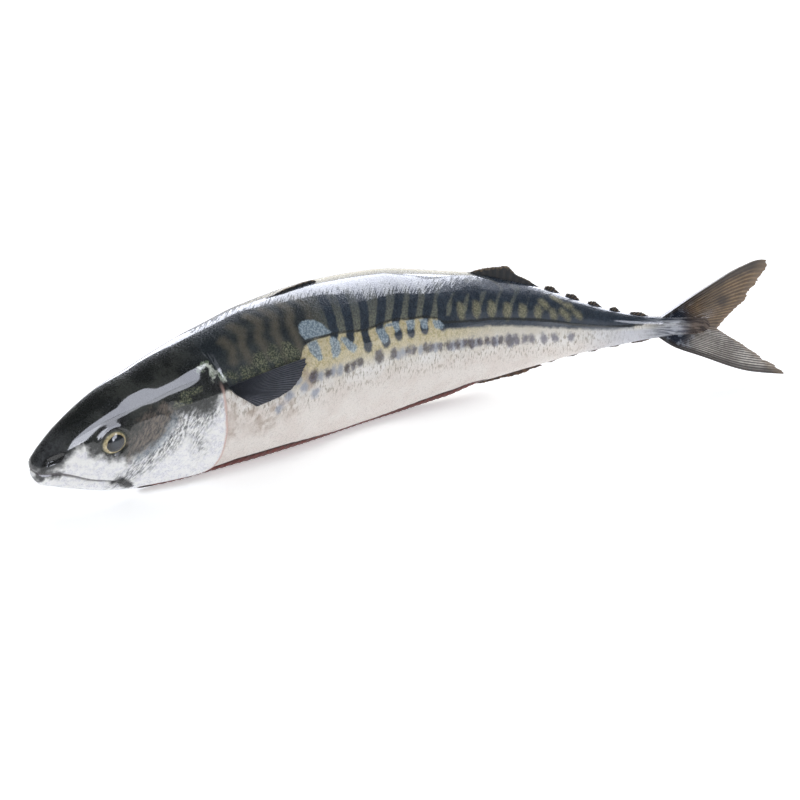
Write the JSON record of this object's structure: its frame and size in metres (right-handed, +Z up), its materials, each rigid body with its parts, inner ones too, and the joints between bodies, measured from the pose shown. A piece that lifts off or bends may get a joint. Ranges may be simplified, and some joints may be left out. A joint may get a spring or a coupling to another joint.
{
  "type": "whole mackerel",
  "caption": "Whole fresh mackerel, gutted and raw, resting upright on its belly with its tail curved to one side.",
  "frame": {"origin": "centre of the bounding box's bottom face, on the surface the fish lies on", "axes": "+X from head to tail, +Z up, the left flank faces -Y and the tail bends towards -Y"},
  "size_m": [0.349, 0.0714, 0.0673],
  "materials": {
    "fish_skin": "wet"
  },
  "bodies": {
    "root": {"mackerel": "fish_skin"}
  },
  "joints": []
}
